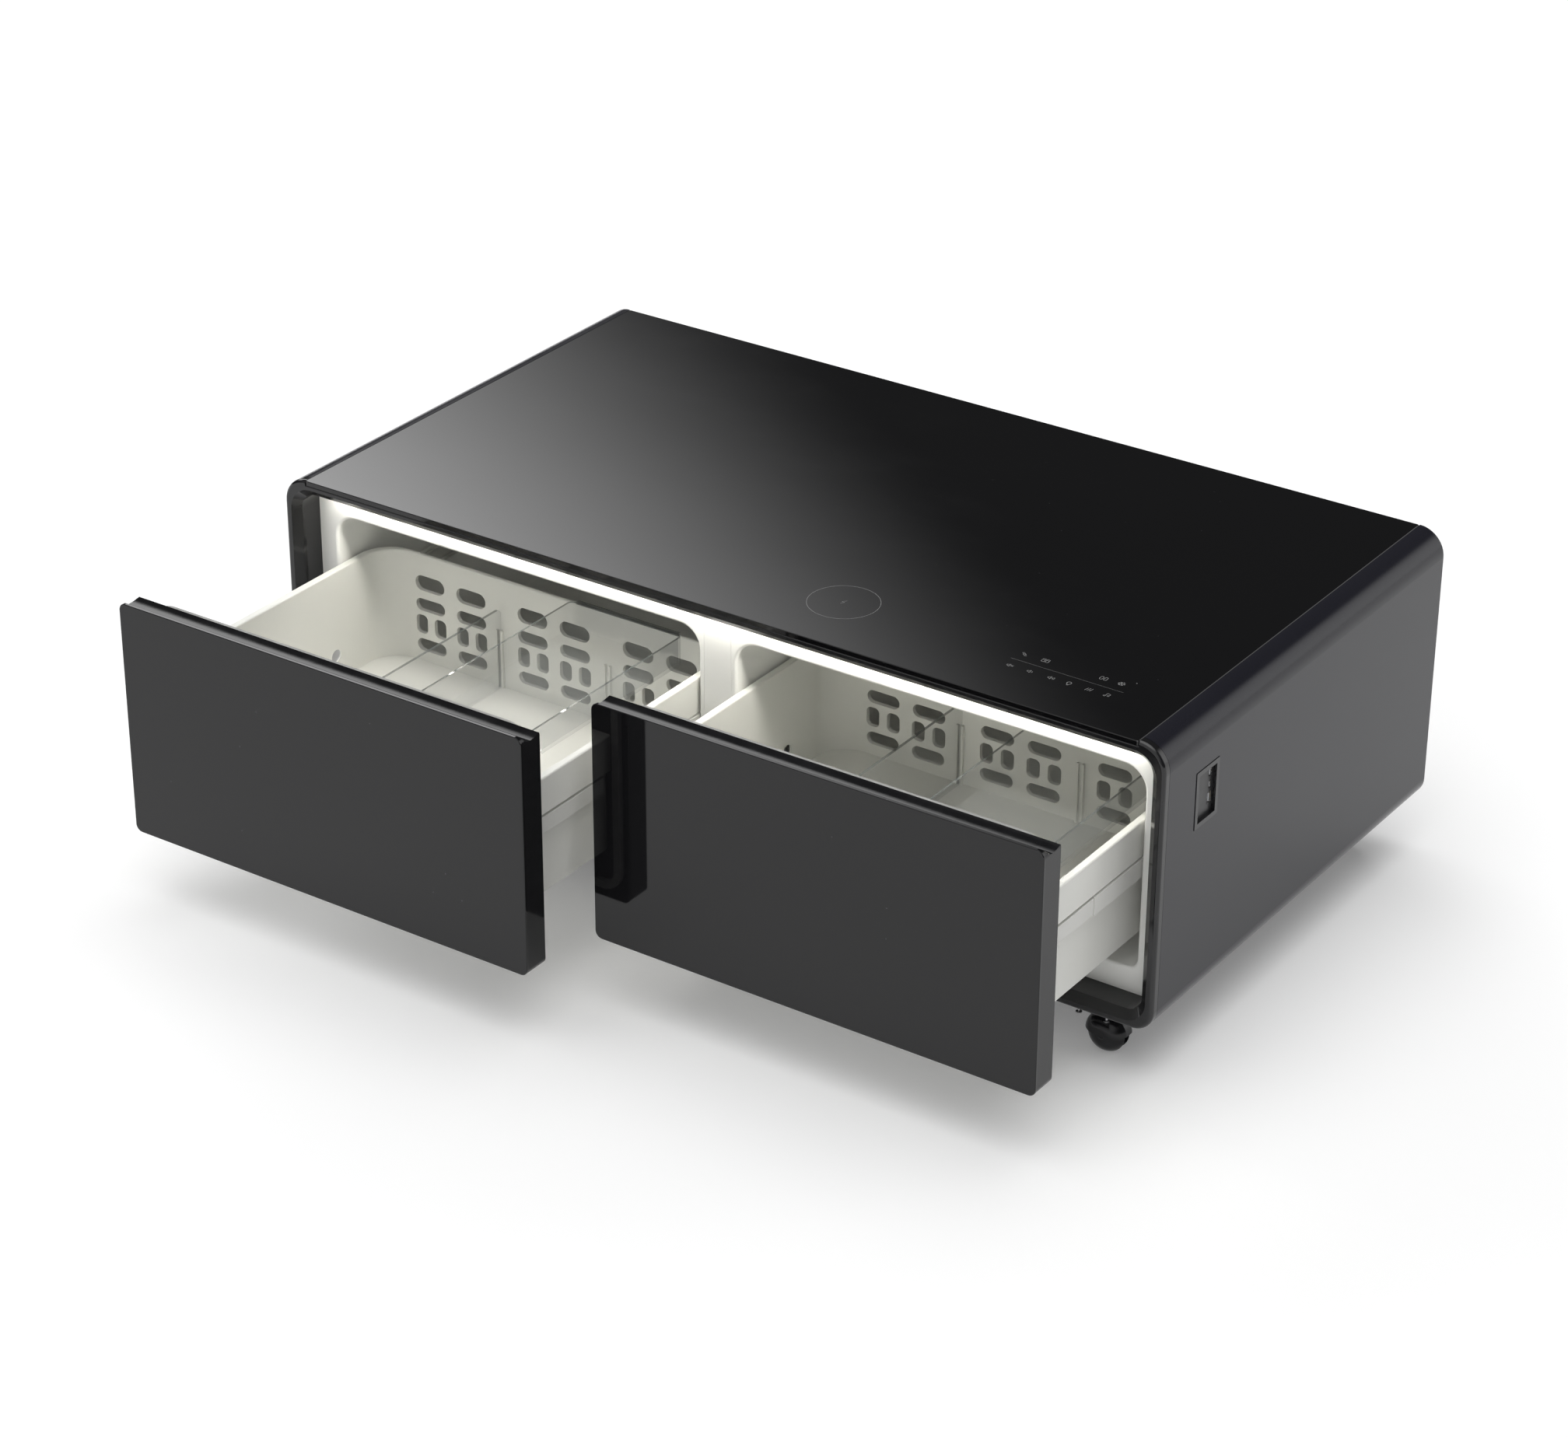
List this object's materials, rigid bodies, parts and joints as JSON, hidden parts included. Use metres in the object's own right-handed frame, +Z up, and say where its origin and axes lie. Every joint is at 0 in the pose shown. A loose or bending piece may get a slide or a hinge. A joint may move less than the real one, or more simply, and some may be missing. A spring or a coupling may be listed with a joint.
{
  "type": "refrigerator coffee table",
  "caption": "Low black cabinet on castors with a black glass top and rounded edges, holding white-lined refrigerated drawers that slide out at the front.",
  "frame": {"origin": "point on the floor under the cabinet's centre", "axes": "+X to the right seen from the front, +Y to the back, +Z up"},
  "size_m": [1.3008, 1.041, 0.45],
  "materials": {
    "trim_gloss": "gloss",
    "panel_lacquer": "satin",
    "top_glass": "polished",
    "deck_board": "matte",
    "pan_paint": "matte",
    "back_paint": "satin",
    "liner_white": "satin",
    "box_white": "satin",
    "foam": "matte",
    "clear_plastic": "gloss",
    "door_glass": "polished",
    "door_grey": "gloss",
    "gasket_grey": "matte",
    "slide_steel": "satin",
    "light": "satin",
    "board_green": "satin",
    "copper": "satin",
    "socket_trim": "gloss",
    "socket_black": "satin",
    "works_black": "satin",
    "rubber_black": "matte",
    "fan_black": "satin",
    "bare_aluminium": "satin",
    "screw_steel": "satin",
    "castor_metal": "satin",
    "castor_black": "gloss"
  },
  "bodies": {
    "cabinet": {"front_trim_frame": "trim_gloss", "led_strip": "light", "base_pan": "pan_paint", "back_panel": "back_paint", "glass_top": "top_glass", "top_deck": "deck_board", "touch_board": "board_green", "charging_coil": "copper", "mullion_cover": "liner_white", "evaporator_plates": "bare_aluminium", "insulation_foam": "foam", "socket_bezel": "socket_trim", "port_block": "socket_black", "compressor": "works_black", "compressor_mounts": "rubber_black", "fan_frame": "fan_black", "condenser": "bare_aluminium", "refrigerant_pipes": "copper", "control_board": "board_green", "speakers": "fan_black", "power_inlet": "socket_black", "screws": "screw_steel", "left_side_panel": "panel_lacquer", "left_liner": "liner_white", "left_fixed_slides": "slide_steel", "right_side_panel": "panel_lacquer", "right_liner": "liner_white", "right_fixed_slides": "slide_steel", "front_left_castor_plate": "castor_metal", "front_right_castor_plate": "castor_metal", "rear_left_castor_plate": "castor_metal", "rear_right_castor_plate": "castor_metal"},
    "left_drawer": {"left_drawer_box": "box_white", "left_door_frame": "door_grey", "left_door_glass": "door_glass", "left_door_core": "foam", "left_door_gasket": "gasket_grey", "left_drawer_divider": "clear_plastic", "left_inner_slides": "slide_steel"},
    "left_middle_slide": {"left_middle_slides": "slide_steel"},
    "left_tray": {"left_drawer_tray": "clear_plastic"},
    "right_drawer": {"right_drawer_box": "box_white", "right_door_frame": "door_grey", "right_door_glass": "door_glass", "right_door_core": "foam", "right_door_gasket": "gasket_grey", "right_drawer_divider": "clear_plastic", "right_inner_slides": "slide_steel"},
    "right_middle_slide": {"right_middle_slides": "slide_steel"},
    "right_tray": {"right_drawer_tray": "clear_plastic"},
    "fan": {"fan_impeller": "fan_black"},
    "front_left_castor": {"front_left_castor_hood": "castor_black"},
    "front_left_wheels": {"front_left_castor_wheels": "castor_black"},
    "front_right_castor": {"front_right_castor_hood": "castor_black"},
    "front_right_wheels": {"front_right_castor_wheels": "castor_black"},
    "rear_left_castor": {"rear_left_castor_hood": "castor_black"},
    "rear_left_wheels": {"rear_left_castor_wheels": "castor_black"},
    "rear_right_castor": {"rear_right_castor_hood": "castor_black"},
    "rear_right_wheels": {"rear_right_castor_wheels": "castor_black"}
  },
  "joints": [
    {"name": "left_drawer_slide", "type": "slide", "parent": "cabinet", "child": "left_drawer", "axis": [0, -1, 0], "range_m": [-0.341, 0.059]},
    {"name": "left_middle_slide", "type": "slide", "parent": "cabinet", "child": "left_middle_slide", "axis": [0, -1, 0], "range_m": [-0.1705, 0.0295]},
    {"name": "left_tray_slide", "type": "slide", "parent": "left_drawer", "child": "left_tray", "axis": [1, 0, 0], "range_m": [-0.262, 0.026]},
    {"name": "right_drawer_slide", "type": "slide", "parent": "cabinet", "child": "right_drawer", "axis": [0, -1, 0], "range_m": [-0.22, 0.18]},
    {"name": "right_middle_slide", "type": "slide", "parent": "cabinet", "child": "right_middle_slide", "axis": [0, -1, 0], "range_m": [-0.11, 0.09]},
    {"name": "right_tray_slide", "type": "slide", "parent": "right_drawer", "child": "right_tray", "axis": [1, 0, 0], "range_m": [-0.288, 0]},
    {"name": "fan_spin", "type": "hinge", "parent": "cabinet", "child": "fan", "pos_m": [-0.21, 0.25725, 0.145], "axis": [1, 0, 0], "continuous": true},
    {"name": "front_left_castor_swivel", "type": "hinge", "parent": "cabinet", "child": "front_left_castor", "pos_m": [-0.556, -0.304, 0.065], "axis": [0, 0, 1], "continuous": true},
    {"name": "front_left_wheel_spin", "type": "hinge", "parent": "front_left_castor", "child": "front_left_wheels", "pos_m": [-0.544, -0.304, 0.025], "axis": [0, -1, 0], "continuous": true},
    {"name": "front_right_castor_swivel", "type": "hinge", "parent": "cabinet", "child": "front_right_castor", "pos_m": [0.556, -0.304, 0.065], "axis": [0, 0, 1], "continuous": true},
    {"name": "front_right_wheel_spin", "type": "hinge", "parent": "front_right_castor", "child": "front_right_wheels", "pos_m": [0.568, -0.304, 0.025], "axis": [0, -1, 0], "continuous": true},
    {"name": "rear_left_castor_swivel", "type": "hinge", "parent": "cabinet", "child": "rear_left_castor", "pos_m": [-0.556, 0.29, 0.065], "axis": [0, 0, 1], "continuous": true},
    {"name": "rear_left_wheel_spin", "type": "hinge", "parent": "rear_left_castor", "child": "rear_left_wheels", "pos_m": [-0.544, 0.29, 0.025], "axis": [0, -1, 0], "continuous": true},
    {"name": "rear_right_castor_swivel", "type": "hinge", "parent": "cabinet", "child": "rear_right_castor", "pos_m": [0.556, 0.29, 0.065], "axis": [0, 0, 1], "continuous": true},
    {"name": "rear_right_wheel_spin", "type": "hinge", "parent": "rear_right_castor", "child": "rear_right_wheels", "pos_m": [0.568, 0.29, 0.025], "axis": [0, -1, 0], "continuous": true}
  ],
  "couplings": [
    {"joint": "left_middle_slide", "follows": "left_drawer_slide", "ratio": 0.5},
    {"joint": "right_middle_slide", "follows": "right_drawer_slide", "ratio": 0.5}
  ]
}
